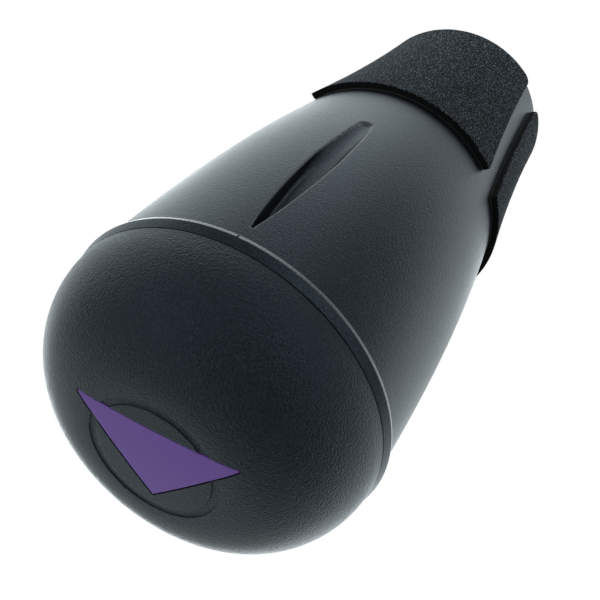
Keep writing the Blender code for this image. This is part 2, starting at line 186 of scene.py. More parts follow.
# Baffle, tone tube and felt
FIT_GAP = 0.0003
BAFFLE_WALL = 0.0022
BAFFLE_RIM = 0.0050
RIM_ROUND = 0.0005
FUNNEL_RISE = 0.0150
FUNNEL_ROUND = 0.001
HUB_WALL = 0.0024
HUB_LIP = 0.0015
HUB_LIP_ROUND = 0.0004
BAFFLE_COLUMNS = 144
TUBE_WALL = 0.0015
TUBE_ROUND = 0.0003
TUBE_COLUMNS = 96
FELT_ROUND = 0.0012
FELT_ROWS = 10
FELT_RINGS = 24
FELT_COLUMNS = 120
FELT_FUZZ = 0.0001
FELT_FUZZ_SCALE = 1500.0

# Upkeep of the meshes
SHARP_ANGLE = math.radians(35.0)
TOUCHING = 1e-6
SLIVER = 5e-6

# Finishes: tints of the blacks, depths of the mould's texture, and where specks and flecks begin
PLASTIC_TINT = (0.80, 1.0, 1.24)
GLOSS_TINT = (0.82, 1.0, 1.26, 1.0)
# Paler tint of the painted highlight on the collar's bevel and the scoops' lips
EDGE_HIGHLIGHT_TINT = (0.85, 1.0, 1.15)
FOAM_TINT = (0.78, 1.0, 1.24)
SHELL_RELIEF = 0.00013
DOME_RELIEF = 0.00036
EDGE_RELIEF = 0.00010
SPECK_START = 0.42
SPECK_FULL = 0.66
FLECK_START = 0.55
FLECK_FULL = 0.69
FLECK_FADE = 1.6
ENAMEL_DEEP = (0.222, 0.090, 0.470, 1.0)
ENAMEL_LIGHT = (0.246, 0.100, 0.518, 1.0)

# Camera, worked out from the circles and the outline in the picture
CAMERA_PLACE = Vector((-0.08729, -0.20824, 0.37150))
CAMERA_VIEW = Vector((0.27146, 0.66575, -0.69505))
CAMERA_UP = Vector((0.40370, -0.73433, -0.54571))
CAMERA_LENS = 55.84
CAMERA_NEAR = 0.01
SENSOR = 36.0

# Studio. The camera sees only PLAIN_FLOOR and PLAIN_WALL. The mute is lit by a floor that glows at
# FLOOR_LIGHT, and at FRONT_LIGHT in front of it, by pools of light on that floor, given as
# (distance, azimuth, spread, strength), and by broad soft lights round it, given as
# (azimuth, height, spread, strength).
LIGHT_TINT = (0.93, 1.02, 1.03)
FLOOR_REACH = 3.0
FLOOR_LIGHT = 1.10
FRONT_LIGHT = 0.22
FRONT_AZIMUTH = -115.0
FRONT_START = 0.060
FRONT_END = 0.133
FLOOR_POOLS = (
    (0.09, 0.0, 0.034, 1.46),
    (0.09, 120.0, 0.034, 2.32),
    (0.09, 300.0, 0.054, 0.68),
    (0.18, 0.0, 0.108, 0.40),
    (0.18, 30.0, 0.068, 2.94),
    (0.18, 270.0, 0.068, 0.66),
    (0.30, 90.0, 0.114, 1.58),
    (0.30, 300.0, 0.114, 0.49),
    (0.70, 60.0, 0.266, 4.73),
    (0.70, 90.0, 0.266, 2.24),
    (1.50, 240.0, 0.570, 3.69),
)
PLAIN_FLOOR = (1.0, 1.0, 1.0, 1.0)
PLAIN_WALL = (0.80, 0.80, 0.80, 1.0)
STUDIO_LIGHT = 0.17
SOFT_LIGHT_FALL = 0.7
SOFT_LIGHTS = (
    (72.0, 5.0, 32.0, 0.49),
    (45.0, 2.0, 10.0, 0.52),
    (30.0, 38.0, 18.0, 0.29),
    (83.0, 48.0, 10.0, 0.43),
    (120.0, 12.0, 10.0, 0.73),
    (195.0, 12.0, 10.0, 1.64),
    (311.0, 22.0, 10.0, 1.70),
    (330.0, 38.0, 18.0, 0.11),
    (320.0, 62.0, 10.0, 1.87),
)


def spread(start, end, count):
    """Evenly spaced values from start to end, both included."""
    return [start + (end - start) * index / count for index in range(count + 1)]


def flare(height, low, high):
    """Radius between two (height, radius, slope) knots on a smooth curve."""
    span = high[0] - low[0]
    t = (height - low[0]) / span
    rise = t * t * (3.0 - 2.0 * t)
    radius = low[1] * (1.0 - rise) + high[1] * rise
    return radius + span * (t * (1.0 - t) ** 2 * low[2] + t * t * (t - 1.0) * high[2])


def body_radius(height):
    """Radius of the body's outside at a height."""
    if height <= WAIST[0]:
        return flare(max(height, 0.0), MOUTH, WAIST)
    return flare(min(height, SHOULDER_HEIGHT), WAIST, SHOULDER)


def dome_height(radius, sink=0.0):
    """Height of the dome's outside, or of a surface sunk below it, at a radius."""
    if radius <= DISC_RADIUS:
        return DOME_TOP - DISC_CROWN * (radius / DISC_RADIUS) ** 2 - sink
    across = SEAM_RADIUS - DISC_RADIUS - sink
    share = min((radius - DISC_RADIUS) / across, 1.0)
    return DOME_FOOT + (DOME_TOP - DISC_CROWN - DOME_FOOT - sink) * math.sqrt(1.0 - share * share)


def compass(azimuth, height):
    """Unit direction from its azimuth and height in degrees."""
    turn, lift = math.radians(azimuth), math.radians(height)
    level = math.cos(lift)
    return Vector((math.cos(turn) * level, math.sin(turn) * level, math.sin(lift)))


def rounded(corners, steps=5):
    """Outline through (radius, height, rounding) corners, each rounding drawn as an arc."""
    outline = []
    for index, (radius, height, rounding) in enumerate(corners):
        corner = Vector((radius, height))
        if rounding == 0.0:
            outline.append(corner)
            continue
        back = (Vector(corners[index - 1][:2]) - corner).normalized()
        ahead = (Vector(corners[(index + 1) % len(corners)][:2]) - corner).normalized()
        half = back.angle(ahead) / 2.0
        centre = corner + (back + ahead).normalized() * rounding / math.sin(half)
        first = corner + back * rounding / math.tan(half) - centre
        last = corner + ahead * rounding / math.tan(half) - centre
        sweep = math.pi - 2.0 * half
        for share in spread(0.0, 1.0, steps):
            spoke = first * math.sin((1.0 - share) * sweep) + last * math.sin(share * sweep)
            outline.append(centre + spoke / math.sin(sweep))
    return outline


def turned(outline, columns=COLUMNS):
    """Closed bmesh of a closed (radius, height) outline spun round Z."""
    bm = bmesh.new()
    verts = [bm.verts.new((radius, 0.0, height)) for radius, height in outline]
    pairs = zip(verts, verts[1:] + verts[:1])
    edges = [bm.edges.new(pair) for pair in pairs if max(pair[0].co.x, pair[1].co.x) > TOUCHING]
    bmesh.ops.spin(
        bm,
        geom=verts + edges,
        cent=(0.0, 0.0, 0.0),
        axis=(0.0, 0.0, 1.0),
        angle=2.0 * math.pi,
        steps=columns,
        use_merge=True,
    )
    bmesh.ops.remove_doubles(bm, verts=bm.verts, dist=TOUCHING)
    bmesh.ops.recalc_face_normals(bm, faces=bm.faces)
    return bm


def piece(name, bm, finishes, replaced):
    """Piece of the mute from a finished bmesh, standing for its CAD node."""
    mesh = bpy.data.meshes.new(name)
    bm.to_mesh(mesh)
    bm.free()
    mesh.shade_smooth()
    mesh.set_sharp_from_angle(angle=SHARP_ANGLE)
    for coat in finishes:
        mesh.materials.append(coat)
    thing = bpy.data.objects.new(name, mesh)
    bpy.context.scene.collection.objects.link(thing)
    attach(thing, "root")
    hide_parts(replaced)
    return thing


def carve(bm, tool):
    """Cut a closed tool shape out of a closed bmesh and return the cut one."""
    blocks = []
    for name, shape in (("carved", bm), ("tool", tool)):
        mesh = bpy.data.meshes.new(name)
        shape.to_mesh(mesh)
        shape.free()
        block = bpy.data.objects.new(name, mesh)
        bpy.context.scene.collection.objects.link(block)
        blocks.append(block)
    cut = blocks[0].modifiers.new("cut", "BOOLEAN")
    cut.operation = "DIFFERENCE"
    cut.solver = "EXACT"
    cut.object = blocks[1]
    view = bpy.context.evaluated_depsgraph_get()
    result = bmesh.new()
    result.from_mesh(blocks[0].evaluated_get(view).to_mesh())
    blocks[0].evaluated_get(view).to_mesh_clear()
    for block in blocks:
        bpy.data.meshes.remove(block.data)
    bmesh.ops.dissolve_degenerate(result, dist=SLIVER, edges=result.edges)
    return result


def add_box(bm, low, high, turn=0.0):
    """Add a closed box between two corners, turned round Z."""
    made = bmesh.ops.create_cube(bm, size=1.0)["verts"]
    size = Vector(high) - Vector(low)
    middle = (Vector(high) + Vector(low)) / 2.0
    stretch = Matrix.Diagonal((*size, 1.0))
    place = Matrix.Rotation(turn, 4, "Z") @ Matrix.Translation(middle) @ stretch
    bmesh.ops.transform(bm, matrix=place, verts=made)


def walk(start, toward):
    """Vertices of an open edge in order, from start and first towards a point."""
    ring = [start]
    ends = [edge.other_vert(start) for edge in start.link_edges if edge.is_boundary]
    step = min(ends, key=lambda vert: (vert.co - toward).length)
    while step is not start:
        ring.append(step)
        ends = [edge.other_vert(step) for edge in step.link_edges if edge.is_boundary]
        step = next(vert for vert in ends if vert is not ring[-2])
    return ring


def draw_in(bm, ring, spots):
    """Extrude an open ring of vertices and put the new ones at the spots given."""
    pairs = zip(ring, ring[1:] + ring[:1])
    edges = [bm.edges.get(pair) for pair in pairs]
    grown = bmesh.ops.extrude_edge_only(bm, edges=edges)["geom"]
    fresh = {item for item in grown if isinstance(item, bmesh.types.BMVert)}
    inner = []
    for vert, spot in zip(ring, spots):
        joined = (edge.other_vert(vert) for edge in vert.link_edges)
        twin = next(other for other in joined if other in fresh)
        twin.co = spot
        inner.append(twin)
    return inner


def scoop_depth(height):
    """Depth of a scoop's floor under the body's outside; the floor bows outwards by SCOOP_BOW."""
    nose_floor = body_radius(SCOOP_NOSE) - SCOOP_NOSE_DEPTH
    tip_floor = body_radius(SCOOP_TIP) - SCOOP_TIP_DEPTH
    t = (height - SCOOP_NOSE) / (SCOOP_TIP - SCOOP_NOSE)
    floor = nose_floor + (tip_floor - nose_floor) * t + 4.0 * SCOOP_BOW * t * (1.0 - t)
    return body_radius(height) - floor


def scoop_half(height):
    """Half the width of a scoop at a height."""
    if height <= SCOOP_BELLY:
        return SCOOP_HALF_WIDTH
    t = min((height - SCOOP_BELLY) / (SCOOP_TIP - SCOOP_BELLY), 1.0)
    return max(SCOOP_HALF_WIDTH * (1.0 - t * t) ** SCOOP_FULLNESS, SCOOP_TIP_ROUND)


def scoop_section(height, growth, skin, lip):
    """Half a scoop's cross-section, as (across, depth) points from its lip to the floor's middle.

    It is a round bowl from the nose to the belly, and grows upright walls from there to the tip.
    """
    half = scoop_half(height)
    square = min(max((height - SCOOP_BELLY) / SCOOP_SQUARE, 0.0), 1.0)
    bend = half * (1.0 - (1.0 - SCOOP_CORNER) * square * square * (3.0 - 2.0 * square))
    flat = half - bend
    centre = scoop_depth(height) - bend
    reach = bend + growth
    lip_centre = skin + lip
    if centre < lip_centre:
        lip_across = flat + math.sqrt(max((reach + lip) ** 2 - (lip_centre - centre) ** 2, 0.0))
        meet = math.atan2(lip_centre - centre, lip_across - flat)
        wall = 0.0
    else:
        lip_across = flat + reach + lip
        meet = 0.0
        wall = centre - lip_centre
    points = [(lip_across, skin)]
    if lip > 0.0:
        for turn in spread(-math.pi / 2.0, meet - math.pi, LIP_LEVELS)[1:]:
            points.append((lip_across + lip * math.cos(turn), lip_centre + lip * math.sin(turn)))
    corner = reach * (math.pi / 2.0 - meet)
    for run in spread(0.0, wall + corner + flat, FLOOR_LEVELS)[1:]:
        turn = meet + max(run - wall, 0.0) / reach
        if run < wall:
            points.append((flat + reach, lip_centre + run))
        elif run < wall + corner:
            points.append((flat + reach * math.cos(turn), centre + reach * math.sin(turn)))
        else:
            points.append((max(wall + corner + flat - run, 0.0), centre + reach))
    return points


def scoop_station(index, half_ring):
    """Height of a scoop's station, and the way its section points: across, and along Z."""
    last_side = half_ring - TIP_STATIONS
    if index <= NOSE_STATIONS:
        turn = math.pi / 2.0 * index / NOSE_STATIONS
        return SCOOP_NOSE, math.sin(turn), -math.cos(turn)
    tip_end = SCOOP_TIP - SCOOP_TIP_ROUND
    if index >= last_side:
        turn = math.pi / 2.0 * (index - last_side) / TIP_STATIONS
        return tip_end, math.cos(turn), math.sin(turn)
    share = (index - NOSE_STATIONS) / (last_side - NOSE_STATIONS)
    eased = 1.0 - (1.0 - share) ** STATION_EASE
    return SCOOP_NOSE + (tip_end - SCOOP_NOSE) * eased, 1.0, 0.0


def sink_scoop(bm, turn, skin, growth, lip):
    """Take a panel out of the shell and draw its edge in to a scoop's lip, walls and floor."""
    facing = Matrix.Rotation(turn, 3, "Z")
    panel_half = 2.0 * math.pi * PANEL_COLUMNS / COLUMNS

    def on_panel(face):
        spot = facing.inverted() @ face.calc_center_median()
        if not PANEL_FOOT < spot.z < PANEL_HEAD:
            return False
        depth = body_radius(spot.z) - spot.xy.length
        return abs(math.atan2(spot.x, -spot.y)) < panel_half and abs(depth - skin) < WALL / 2.0

    panel = [face for face in bm.faces if on_panel(face)]
    bmesh.ops.delete(bm, geom=panel, context="FACES")
    open_edge = {vert for edge in bm.edges if edge.is_boundary for vert in edge.verts}
    foot = facing @ Vector((0.0, skin - body_radius(PANEL_FOOT), PANEL_FOOT))
    right = facing @ Vector((COLLAR_RADIUS, -COLLAR_RADIUS, PANEL_FOOT))
    ring = walk(min(open_edge, key=lambda vert: (vert.co - foot).length), right)
    half_ring = len(ring) // 2

    def on_skin(angle, height):
        radius = body_radius(height) - skin
        return facing @ Vector((radius * math.sin(angle), -radius * math.cos(angle), height))

    def below_skin(across, depth, height):
        radius = body_radius(height) - skin
        drop = math.sqrt(radius * radius - across * across) - (depth - skin)
        return facing @ Vector((across, -drop, height))

    starts, sections = [], []
    for index, vert in enumerate(ring):
        spot = facing.inverted() @ vert.co
        starts.append((math.atan2(spot.x, -spot.y), spot.z))
        side = 1.0 if index <= half_ring else -1.0
        height, across, along = scoop_station(min(index, len(ring) - index), half_ring)
        profile = scoop_section(height, growth, skin, lip)
        sections.append([(side * across * x, depth, height + along * x) for x, depth in profile])
    for share in spread(0.0, 1.0, PANEL_LEVELS)[1:-1]:
        eased = 1.0 - (1.0 - share) ** PANEL_EASE
        spots = []
        for (angle, height), section in zip(starts, sections):
            across, _, lip_height = section[0]
            lip_angle = math.asin(across / (body_radius(lip_height) - skin))
            turned_to = angle + (lip_angle - angle) * eased
            spots.append(on_skin(turned_to, height + (lip_height - height) * eased))
        ring = draw_in(bm, ring, spots)
    for level in range(len(sections[0])):
        ring = draw_in(bm, ring, [below_skin(*section[level]) for section in sections])
    bmesh.ops.remove_doubles(bm, verts=bm.verts, dist=TOUCHING)


def shell_outline():
    """Shell from the seam down the outside, round the mouth and up the bore."""
    bore = [radius - WALL for radius in (MOUTH[1], body_radius(BAFFLE_SEAT), SHOULDER[1])]
    land = bore[1] - BAFFLE_LAND
    fine = round((PANEL_HEAD - PANEL_FOOT) / FINE_ROW)
    neck = round(PANEL_FOOT / COARSE_ROW)
    under_ledge = spread(SHOULDER_HEIGHT - FINE_ROW, PANEL_HEAD, 2)[:-1]
    heights = spread(PANEL_HEAD, PANEL_FOOT, fine) + spread(PANEL_FOOT, 2.0 * MOUTH_ROUND, neck)[1:]
    corners = [
        (SEAM_RADIUS, SEAM_HEIGHT, EDGE_ROUND),
        (COLLAR_RADIUS, SHOULDER_HEIGHT + COLLAR_BEVEL, COLLAR_ROUND),
        (COLLAR_RADIUS - COLLAR_DRAW, SHOULDER_HEIGHT, COLLAR_ROUND),
        (SHOULDER[1], SHOULDER_HEIGHT, LEDGE_ROUND),
    ]
    corners += [(body_radius(height), height, 0.0) for height in under_ledge + heights]
    corners += [(MOUTH[1], 0.0, MOUTH_ROUND), (bore[0], 0.0, MOUTH_ROUND)]
    for height in reversed(heights):
        if height < BAFFLE_SEAT and body_radius(height) - WALL < land:
            corners.append((body_radius(height) - WALL, height, 0.0))
    corners += [(land, BAFFLE_SEAT, EDGE_ROUND), (bore[1], BAFFLE_SEAT, 0.0)]
    upper = [height for height in reversed(heights) if height > BAFFLE_SEAT + FINE_ROW]
    corners += [(body_radius(height) - WALL, height, 0.0) for height in upper]
    corners += [(bore[2], SHOULDER_HEIGHT, 0.0), (bore[2], SEAM_HEIGHT, EDGE_ROUND)]
    return rounded(corners)


def edge_highlighted(spot):
    """Whether a place on the shell is on a scoop's lip or on the collar's bevel, where a highlight
    is painted.
    """
    below = body_radius(min(spot.z, SHOULDER_HEIGHT)) - spot.xy.length
    above = spot.z - SHOULDER_HEIGHT
    on_lip = PANEL_FOOT < spot.z < PANEL_HEAD and LIP_START < below < SCOOP_LIP
    on_bevel = 0.0 < above < COLLAR_BEVEL and spot.xy.length > COLLAR_RADIUS - BEVEL_REACH
    return on_lip or on_bevel


def shape_shell():
    """Body shell with both scoops, their outlets and the notch in the collar."""
    bm = turned(shell_outline())
    for turn in SCOOP_TURNS:
        sink_scoop(bm, turn, WALL, SCOOP_WALL, 0.0)
        sink_scoop(bm, turn, 0.0, 0.0, SCOOP_LIP)
    bmesh.ops.recalc_face_normals(bm, faces=bm.faces)
    floor = body_radius(OUTLET_HEAD) - SCOOP_TIP_DEPTH
    tool = bmesh.new()
    for turn in SCOOP_TURNS:
        add_box(
            tool,
            (-OUTLET_WIDTH / 2.0, -floor - WALL, OUTLET_FOOT),
            (OUTLET_WIDTH / 2.0, -floor + WALL + SCOOP_WALL, OUTLET_HEAD),
            turn,
        )
    add_box(
        tool,
        (-NOTCH_WIDTH / 2.0, -COLLAR_RADIUS - NOTCH_DEPTH, SHOULDER_HEIGHT - NOTCH_HEIGHT),
        (NOTCH_WIDTH / 2.0, -COLLAR_RADIUS + NOTCH_DEPTH, SHOULDER_HEIGHT + NOTCH_HEIGHT),
    )
    bm = carve(bm, tool)
    # The lips and the bevel take the second finish, whose paler colour is a painted highlight
    for face in bm.faces:
        face.material_index = int(edge_highlighted(face.calc_center_median()))
    return bm


def cap_outline():
    """Cap from the end disc's middle down the dome, round the spigot and back inside."""
    inner = GROOVE_RADIUS - GROOVE_WIDTH / 2.0
    outer = GROOVE_RADIUS + GROOVE_WIDTH / 2.0
    crown = spread(0.0, inner, CROWN_STEPS)[:-1]
    corners = [(radius, dome_height(radius), 0.0) for radius in crown]
    corners += [
        (inner, dome_height(inner), GROOVE_ROUND),
        (inner + GROOVE_DRAFT, dome_height(inner) - GROOVE_DEPTH, GROOVE_ROUND),
        (outer - GROOVE_DRAFT, dome_height(outer) - GROOVE_DEPTH, GROOVE_ROUND),
        (outer, dome_height(outer), GROOVE_ROUND),
    ]
    across = SEAM_RADIUS - DISC_RADIUS
    rise = DOME_TOP - DISC_CROWN - DOME_FOOT
    for turn in spread(math.pi / 2.0, 0.0, DOME_STEPS)[1:-1]:
        height = DOME_FOOT + rise * math.sin(turn)
        corners.append((DISC_RADIUS + across * math.cos(turn), height, 0.0))
    corners += [
        (SEAM_RADIUS, DOME_FOOT, EDGE_ROUND),
        (SPIGOT_RADIUS, DOME_FOOT, 0.0),
        (SPIGOT_RADIUS, SPIGOT_FOOT, EDGE_ROUND),
        (SPIGOT_RADIUS - SPIGOT_WALL, SPIGOT_FOOT, EDGE_ROUND),
        (SPIGOT_RADIUS - SPIGOT_WALL, DOME_FOOT + WALL, 0.0),
    ]
    for turn in spread(0.0, math.pi / 2.0, INNER_DOME_STEPS):
        height = DOME_FOOT + (rise - WALL) * math.sin(turn)
        if height > DOME_FOOT + INNER_DOME_START:
            corners.append((DISC_RADIUS + (across - WALL) * math.cos(turn), height, 0.0))
    corners.append((0.0, DOME_TOP - WALL, 0.0))
    return rounded(corners)


def badge_blank(growth, cell):
    """Flat three-cornered sheet with rounded corners, cut from a grid square."""
    place = Matrix.Rotation(BADGE_TURN, 2)
    corners = [
        place @ Vector((-BADGE_BASE / 2.0 - BADGE_SHIFT, BADGE_FOOT)),
        place @ Vector((BADGE_BASE / 2.0 - BADGE_SHIFT, BADGE_FOOT)),
        place @ Vector((-BADGE_SHIFT, BADGE_FOOT + BADGE_HEIGHT)),
    ]
    middle = (corners[0] + corners[1] + corners[2]) / 3.0
    bm = bmesh.new()
    cells = math.ceil(BADGE_BASE / 2.0 / cell + SPARE_CELLS)
    bmesh.ops.create_grid(bm, x_segments=2 * cells, y_segments=2 * cells, size=cells * cell)
    bmesh.ops.translate(bm, vec=(0.0, middle.y, 0.0), verts=bm.verts)
    for index, corner in enumerate(corners):
        back = (corners[index - 1] - corner).normalized()
        ahead = (corners[(index + 1) % 3] - corner).normalized()
        half = back.angle(ahead) / 2.0
        centre = corner + (back + ahead).normalized() * BADGE_CORNER / math.sin(half)
        outward = Vector((ahead.y, -ahead.x))
        for share in range(CORNER_CUTS + 1):
            turn = -(math.pi - 2.0 * half) * share / CORNER_CUTS
            normal = Matrix.Rotation(turn, 2) @ outward
            spot = centre + normal * (BADGE_CORNER + growth)
            bmesh.ops.bisect_plane(
                bm,
                geom=bm.verts[:] + bm.edges[:] + bm.faces[:],
                plane_co=(spot.x, spot.y, 0.0),
                plane_no=(normal.x, normal.y, 0.0),
                clear_outer=True,
            )
    bmesh.ops.remove_doubles(bm, verts=bm.verts, dist=BADGE_MERGE)
    return bm


def thicken(bm, low, high):
    """Raise a flat sheet to a solid between two heights, rules on the radius. Gives its top."""
    grown = bmesh.ops.extrude_face_region(bm, geom=list(bm.faces))["geom"]
    top = {item for item in grown if isinstance(item, bmesh.types.BMVert)}
    for vert in bm.verts:
        vert.co.z = (high if vert in top else low)(vert.co.xy.length)
    bmesh.ops.recalc_face_normals(bm, faces=bm.faces)
    return [face for face in bm.faces if all(vert in top for vert in face.verts)]


def shape_cap():
    """Domed cap with the badge's pocket sunk in it."""
    pocket = badge_blank(BADGE_GAP, POCKET_CELL)
    floor = BADGE_SINK + BADGE_THICKNESS
    thicken(pocket, lambda radius: dome_height(radius, floor), lambda radius: DOME_TOP + WALL)
    return carve(turned(cap_outline()), pocket)


def shape_badge():
    """Bare plate that follows the dome, its upper edge eased."""
    bm = badge_blank(0.0, BADGE_CELL)
    top = thicken(
        bm,
        lambda radius: dome_height(radius, BADGE_SINK + BADGE_THICKNESS),
        lambda radius: dome_height(radius, BADGE_SINK),
    )
    rim = [edge for edge in bm.edges if len([face for face in edge.link_faces if face in top]) == 1]
    bmesh.ops.bevel(
        bm, geom=rim, offset=BADGE_EDGE, affect="EDGES", segments=3, profile=0.5, material=-1
    )
    return bm


def strip_spot(across, up, standoff, turn, inset):
    """Place on a strip from shares of its width and height, drawn in by an inset, corners round."""
    tall = STRIP_HEAD - STRIP_FOOT
    wide = (STRIP_SWEEP - STRIP_LEAN * (1.0 - up)) * body_radius(STRIP_FOOT + tall * up)
    aside = min(across, 1.0 - across) * (wide - 2.0 * inset)
    along = min(up, 1.0 - up) * (tall - 2.0 * inset)
    corner = (MOUTH_CORNER if up < 0.5 else DOME_CORNER) - inset
    reach = max(corner - aside, corner - along)
    if min(corner - aside, corner - along) > 0.0:
        draw = reach / math.hypot(corner - aside, corner - along)
        aside, along = corner - (corner - aside) * draw, corner - (corner - along) * draw
    aside += inset
    along += inset
    height = STRIP_FOOT + (along if up < 0.5 else tall - along)
    share = aside / wide if across < 0.5 else 1.0 - aside / wide
    sweep = STRIP_SWEEP - STRIP_LEAN * (STRIP_HEAD - height) / tall
    height += STRIP_SKEW * (0.5 - share)
    angle = turn - sweep * share
    radius = body_radius(height) + standoff
    return Vector((radius * math.cos(angle), radius * math.sin(angle), height))


def shape_strip(low, high, turn, inset, rounding, columns, rows):
    """Strip wrapped on the neck: two curved sheets joined by a cut side with an eased edge."""
    bm = bmesh.new()
    shares = {}
    borders = []
    for standoff, draw in ((high, inset + rounding), (low, inset)):
        made = bmesh.ops.create_grid(bm, x_segments=columns, y_segments=rows, size=1.0)["verts"]
        for vert in made:
            shares[vert] = ((vert.co.x + 1.0) / 2.0, (vert.co.y + 1.0) / 2.0)
            vert.co = strip_spot(*shares[vert], standoff, turn, draw)
        touched = [edge for vert in made for edge in vert.link_edges if edge.is_boundary]
        borders.append(list(dict.fromkeys(touched)))
    ring = walk(borders[0][0].verts[0], Vector())
    places = [shares[vert] for vert in ring]
    if rounding > 0.0:
        for roll in spread(0.0, math.pi / 2.0, EDGE_STEPS)[1:]:
            draw = inset + rounding * (1.0 - math.sin(roll))
            standoff = high - rounding * (1.0 - math.cos(roll))
            spots = [strip_spot(*place, standoff, turn, draw) for place in places]
            ring = draw_in(bm, ring, spots)
    side = [bm.edges.get(pair) for pair in zip(ring, ring[1:] + ring[:1])]
    for face in bmesh.ops.bridge_loops(bm, edges=side + borders[1])["faces"]:
        face.material_index = 1
    bmesh.ops.recalc_face_normals(bm, faces=bm.faces)
    return bm


def shape_foam(turn):
    """Foam strip, its skin and edges a little uneven."""
    columns = round(STRIP_SWEEP * body_radius(STRIP_HEAD) / FOAM_CELL)
    rows = round((STRIP_HEAD - STRIP_FOOT) / FOAM_CELL)
    bm = shape_strip(FOAM_LOW, FOAM_HIGH - FOAM_SWELL, turn, 0.0, FOAM_ROUND, columns, rows)
    bm.normal_update()
    for vert in bm.verts:
        vert.co += vert.normal * FOAM_SWELL * noise.noise(vert.co * FOAM_SWELL_SCALE)
    return bm


def shape_baffle():
    """Funnel-shaped baffle with its rim and hub."""
    bore = body_radius(BAFFLE_SEAT) - WALL
    rim = bore - FIT_GAP
    inner = bore - BAFFLE_LAND
    hub_bore = TUBE_RADIUS + FIT_GAP
    hub = hub_bore + HUB_WALL
    lip = TUBE_RADIUS - TUBE_WALL
    rise = BAFFLE_FOOT + FUNNEL_RISE
    corners = [
        (inner, BAFFLE_FOOT, EDGE_ROUND),
        (rim, BAFFLE_FOOT, EDGE_ROUND),
        (rim, BAFFLE_FOOT + BAFFLE_RIM, EDGE_ROUND),
        (rim - BAFFLE_WALL, BAFFLE_FOOT + BAFFLE_RIM, RIM_ROUND),
        (hub, rise + BAFFLE_WALL, FUNNEL_ROUND),
        (hub, HUB_TOP, EDGE_ROUND),
        (hub_bore, HUB_TOP, EDGE_ROUND),
        (hub_bore, rise + HUB_LIP, 0.0),
        (lip, rise + HUB_LIP, EDGE_ROUND),
        (lip, rise, HUB_LIP_ROUND),
        (hub, rise, FUNNEL_ROUND),
        (inner, BAFFLE_FOOT + BAFFLE_RIM - BAFFLE_WALL, FUNNEL_ROUND),
    ]
    return turned(rounded(corners), BAFFLE_COLUMNS)


def shape_tube():
    """Tone tube with eased ends."""
    bore = TUBE_RADIUS - TUBE_WALL
    ends = [(bore, TUBE_FOOT), (TUBE_RADIUS, TUBE_FOOT), (TUBE_RADIUS, TUBE_TOP), (bore, TUBE_TOP)]
    return turned(rounded([(*end, TUBE_ROUND) for end in ends]), TUBE_COLUMNS)


def shape_felt():
    """Felt disc with soft edges and a slightly uneven skin."""
    heights = spread(FELT_FOOT, FELT_TOP, FELT_ROWS)
    radii = spread(0.0, FELT_RADIUS, FELT_RINGS)
    corners = [(radius, FELT_FOOT, 0.0) for radius in radii[:-2]]
    corners.append((FELT_RADIUS, FELT_FOOT, FELT_ROUND))
    corners += [(FELT_RADIUS, height, 0.0) for height in heights[2:-2]]
    corners.append((FELT_RADIUS, FELT_TOP, FELT_ROUND))
    corners += [(radius, FELT_TOP, 0.0) for radius in reversed(radii[:-2])]
    bm = turned(rounded(corners), FELT_COLUMNS)
    for vert in bm.verts:
        vert.co -= vert.normal * FELT_FUZZ * (1.0 + noise.noise(vert.co * FELT_FUZZ_SCALE))
    return bm


class Wire:
    """Output of a node, with arithmetic that adds Math nodes."""

    def __init__(self, bench, socket):
        self.bench = bench
        self.socket = socket

    def maths(self, operation, first, second):
        """Wire of a Math node on two numbers or wires."""
        return self.bench.node("ShaderNodeMath", {"operation": operation}, {0: first, 1: second})

    def __add__(self, other):
        return self.maths("ADD", self, other)

    __radd__ = __add__

    def __sub__(self, other):
        return self.maths("SUBTRACT", self, other)

    def __rsub__(self, other):
        return self.maths("SUBTRACT", other, self)

    def __mul__(self, other):
        return self.maths("MULTIPLY", self, other)

    __rmul__ = __mul__

    def __truediv__(self, other):
        return self.maths("DIVIDE", self, other)

    def __pow__(self, other):
        return self.maths("POWER", self, other)


